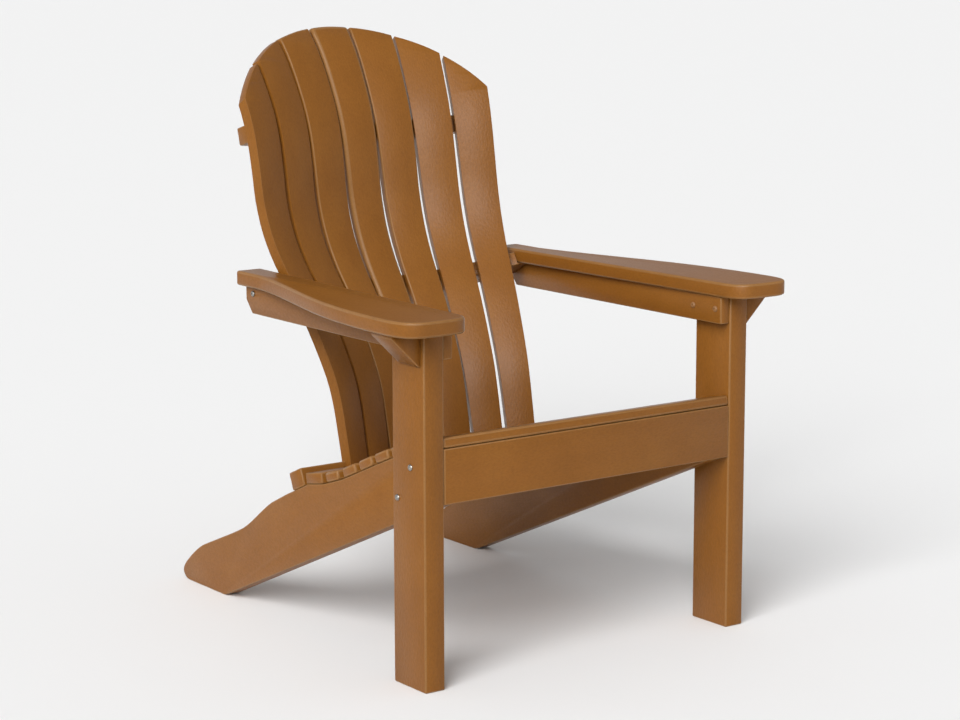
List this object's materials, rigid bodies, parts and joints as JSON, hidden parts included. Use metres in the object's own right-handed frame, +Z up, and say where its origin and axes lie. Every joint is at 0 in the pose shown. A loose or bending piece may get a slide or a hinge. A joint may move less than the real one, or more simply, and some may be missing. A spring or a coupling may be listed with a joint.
{
  "type": "adirondack chair",
  "caption": "Low garden armchair with a reclined, fanned slat back, flat paddle arms and a contoured slat seat on two sloping side stringers and front legs.",
  "frame": {"origin": "on the floor, under the middle of the chair's bounding box", "axes": "+Z up, -Y towards the front (the way the sitter faces), +X to the right seen from the front"},
  "size_m": [0.804, 0.902, 1.0226],
  "materials": {
    "poly_lumber": "satin extruded high-density polyethylene lumber, cedar brown, fine grain",
    "stainless_steel": "bright domed bolt and screw heads"
  },
  "bodies": {
    "root": {"front_leg_right": "poly_lumber", "front_leg_left": "poly_lumber", "stringer_right": "poly_lumber", "stringer_left": "poly_lumber", "front_apron": "poly_lumber", "seat_nosing": "poly_lumber", "seat_slat_1": "poly_lumber", "seat_slat_2": "poly_lumber", "seat_slat_3": "poly_lumber", "seat_slat_4": "poly_lumber", "seat_slat_5": "poly_lumber", "seat_slat_6": "poly_lumber", "rear_seat_board": "poly_lumber", "back_slat_1": "poly_lumber", "back_slat_2": "poly_lumber", "back_slat_3": "poly_lumber", "back_slat_4": "poly_lumber", "back_slat_5": "poly_lumber", "back_slat_6": "poly_lumber", "back_slat_7": "poly_lumber", "lower_back_cleat": "poly_lumber", "upper_back_cleat": "poly_lumber", "arm_right": "poly_lumber", "arm_left": "poly_lumber", "arm_level_cross_board": "poly_lumber", "arm_rail_right": "poly_lumber", "arm_rail_left": "poly_lumber", "arm_bracket_right": "poly_lumber", "arm_bracket_left": "poly_lumber", "leg_bolt_1_right": "stainless_steel", "leg_bolt_1_left": "stainless_steel", "leg_bolt_2_right": "stainless_steel", "leg_bolt_2_left": "stainless_steel", "rail_bolt_1_right": "stainless_steel", "rail_bolt_1_left": "stainless_steel", "rail_bolt_2_right": "stainless_steel", "rail_bolt_2_left": "stainless_steel", "rear_rail_screw_right": "stainless_steel", "rear_rail_screw_left": "stainless_steel"}
  },
  "joints": []
}
